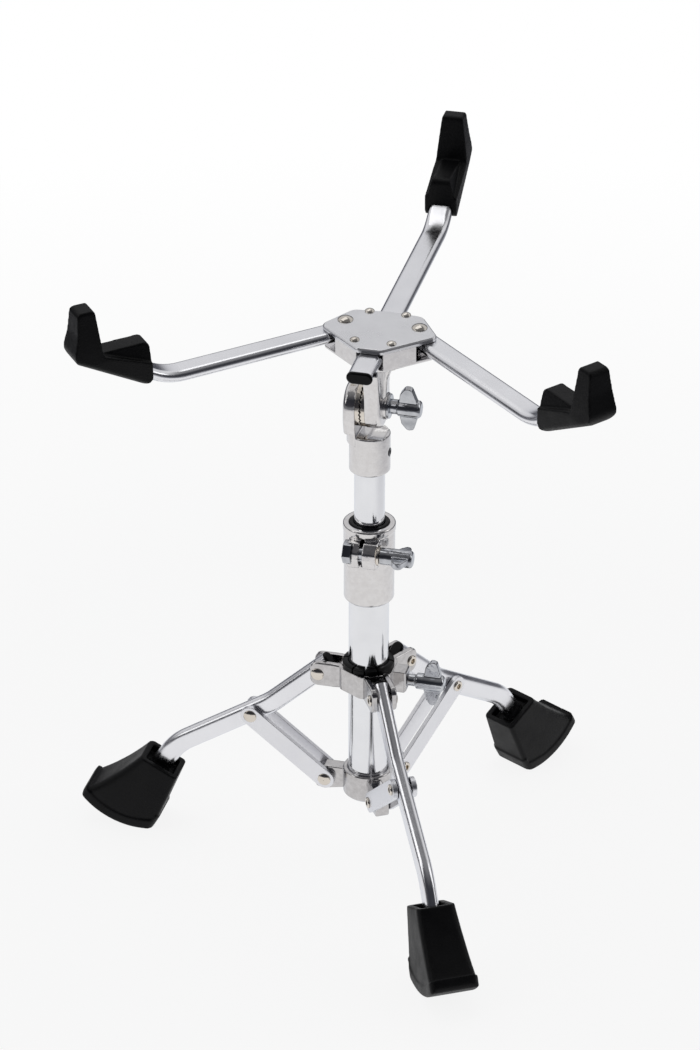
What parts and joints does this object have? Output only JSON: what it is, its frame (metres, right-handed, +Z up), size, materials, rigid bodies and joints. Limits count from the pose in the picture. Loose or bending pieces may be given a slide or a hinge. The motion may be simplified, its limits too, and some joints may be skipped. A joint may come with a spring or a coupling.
{
  "type": "snare drum stand",
  "caption": "Low folding snare drum stand: tripod base with struts, telescopic column with wing bolt clamp, toothed tilter and a basket of bent arms with rubber grips.",
  "frame": {"origin": "on the axis of the column, in the floor plane under the soles of the feet", "axes": "+Z up along the column, +X to the right and -Y towards the viewer of the picture"},
  "size_m": [0.3294, 0.383, 0.439],
  "materials": {
    "tube_chrome": "polished chrome plate on steel tube",
    "strut_chrome": "chrome plate on flat steel",
    "cast_chrome": "chrome plate on die casting, slightly wavy",
    "nickel_rivet": "nickel plate, warm",
    "dark_screw": "black oxide",
    "black_rubber": "moulded, satin",
    "black_nylon": "moulded nylon",
    "black_plastic": "moulded"
  },
  "bodies": {
    "base": {"base_tube": "tube_chrome", "clamp_bush": "black_nylon", "clamp_nut": "nickel_rivet", "foot_collar": "cast_chrome", "height_clamp": "cast_chrome"},
    "collar": {"collar_bush": "black_nylon", "leg_collar": "cast_chrome", "leg_pivot_rivets": "nickel_rivet"},
    "collar_bolt": {"collar_wing_bolt": "cast_chrome"},
    "leg_front": {"foot_front": "black_rubber", "leg_front": "tube_chrome", "leg_plug_front": "black_plastic"},
    "leg_right": {"foot_right": "black_rubber", "leg_plug_right": "black_plastic", "leg_right": "tube_chrome"},
    "leg_left": {"foot_left": "black_rubber", "leg_left": "tube_chrome", "leg_plug_left": "black_plastic"},
    "strut_front": {"strut_front_a": "strut_chrome", "strut_front_b": "strut_chrome", "strut_low_rivet_front": "nickel_rivet", "strut_top_rivet_front": "nickel_rivet"},
    "strut_right": {"strut_low_rivet_right": "nickel_rivet", "strut_right_a": "strut_chrome", "strut_right_b": "strut_chrome", "strut_top_rivet_right": "nickel_rivet"},
    "strut_left": {"strut_left_a": "strut_chrome", "strut_left_b": "strut_chrome", "strut_low_rivet_left": "nickel_rivet", "strut_top_rivet_left": "nickel_rivet"},
    "stage": {"set_screw": "dark_screw", "tilter_disc_lower": "cast_chrome", "tilter_lower": "cast_chrome", "upper_tube": "tube_chrome"},
    "clamp_bolt": {"clamp_washer": "nickel_rivet", "clamp_wing_bolt": "cast_chrome"},
    "tilt_bolt": {"tilter_washer": "nickel_rivet", "tilter_wing_bolt": "cast_chrome"},
    "basket": {"arm_pivot_rivets": "nickel_rivet", "basket_pan": "cast_chrome", "basket_plate": "tube_chrome", "plate_rivets": "nickel_rivet", "tilter_disc_upper": "cast_chrome"},
    "arm_right": {"arm_right": "tube_chrome", "grip_right": "black_rubber"},
    "arm_left": {"arm_left": "tube_chrome", "grip_left": "black_rubber"},
    "arm_rear": {"arm_sliding": "tube_chrome", "grip_rear": "black_rubber", "stop_pin": "black_plastic", "tail_plug": "black_plastic"}
  },
  "joints": [
    {"name": "leg_collar_slide", "type": "slide", "parent": "base", "child": "collar", "axis": [0, 0, 1], "range_m": [0, 0.0429]},
    {"name": "collar_wing_bolt_turn", "type": "hinge", "parent": "collar", "child": "collar_bolt", "pos_m": [0, 0, 0.1314], "axis": [0.972, -0.2351, 0], "continuous": true},
    {"name": "leg_front_fold", "type": "hinge", "parent": "collar", "child": "leg_front", "pos_m": [0.00887, -0.03012, 0.1314], "axis": [0.9593, 0.2823, 0], "range_deg": [0, 38.02]},
    {"name": "leg_right_fold", "type": "hinge", "parent": "collar", "child": "leg_right", "pos_m": [0.02165, 0.02274, 0.1314], "axis": [-0.7242, 0.6896, 0], "range_deg": [0, 38.02]},
    {"name": "leg_left_fold", "type": "hinge", "parent": "collar", "child": "leg_left", "pos_m": [-0.03052, 0.00738, 0.1314], "axis": [-0.2351, -0.972, 0], "range_deg": [0, 38.02]},
    {"name": "strut_front_fold", "type": "hinge", "parent": "leg_front", "child": "strut_front", "pos_m": [0.02154, -0.0732, 0.0931], "axis": [-0.9593, -0.2823, 0], "range_deg": [0, 74.16]},
    {"name": "strut_right_fold", "type": "hinge", "parent": "leg_right", "child": "strut_right", "pos_m": [0.05262, 0.05525, 0.0931], "axis": [0.7242, -0.6896, 0], "range_deg": [0, 74.16]},
    {"name": "strut_left_fold", "type": "hinge", "parent": "leg_left", "child": "strut_left", "pos_m": [-0.07416, 0.01794, 0.0931], "axis": [0.2351, 0.972, 0], "range_deg": [0, 74.16]},
    {"name": "height_slide", "type": "slide", "parent": "base", "child": "stage", "axis": [0, 0, 1], "range_m": [-0.034, 0.09]},
    {"name": "clamp_wing_bolt_turn", "type": "hinge", "parent": "base", "child": "clamp_bolt", "pos_m": [-0.00468, -0.01842, 0.229], "axis": [0.9692, -0.2463, 0], "continuous": true},
    {"name": "tilter_wing_bolt_turn", "type": "hinge", "parent": "stage", "child": "tilt_bolt", "pos_m": [0, 0, 0.3226], "axis": [0.9692, -0.2463, 0], "continuous": true},
    {"name": "basket_tilt", "type": "hinge", "parent": "stage", "child": "basket", "pos_m": [0, 0, 0.3226], "axis": [0.9692, -0.2463, 0], "range_deg": [-50, 50]},
    {"name": "arm_right_swing", "type": "hinge", "parent": "basket", "child": "arm_right", "pos_m": [0.02957, -0.00066, 0.3673], "axis": [-0.018, -0.0708, 0.9973], "range_deg": [-10, 120]},
    {"name": "arm_left_swing", "type": "hinge", "parent": "basket", "child": "arm_left", "pos_m": [-0.01498, 0.01066, 0.3673], "axis": [0.018, 0.0708, -0.9973], "range_deg": [-10, 120]},
    {"name": "rear_arm_slide", "type": "slide", "parent": "basket", "child": "arm_rear", "axis": [0.2457, 0.9666, 0.0731], "range_m": [-0.06, 0.014]}
  ],
  "couplings": [
    {"joint": "leg_front_fold", "follows": "leg_collar_slide", "rad_per_m": 15.46},
    {"joint": "leg_right_fold", "follows": "leg_collar_slide", "rad_per_m": 15.46},
    {"joint": "leg_left_fold", "follows": "leg_collar_slide", "rad_per_m": 15.46},
    {"joint": "strut_front_fold", "follows": "leg_collar_slide", "rad_per_m": 30.163},
    {"joint": "strut_right_fold", "follows": "leg_collar_slide", "rad_per_m": 30.163},
    {"joint": "strut_left_fold", "follows": "leg_collar_slide", "rad_per_m": 30.163}
  ]
}
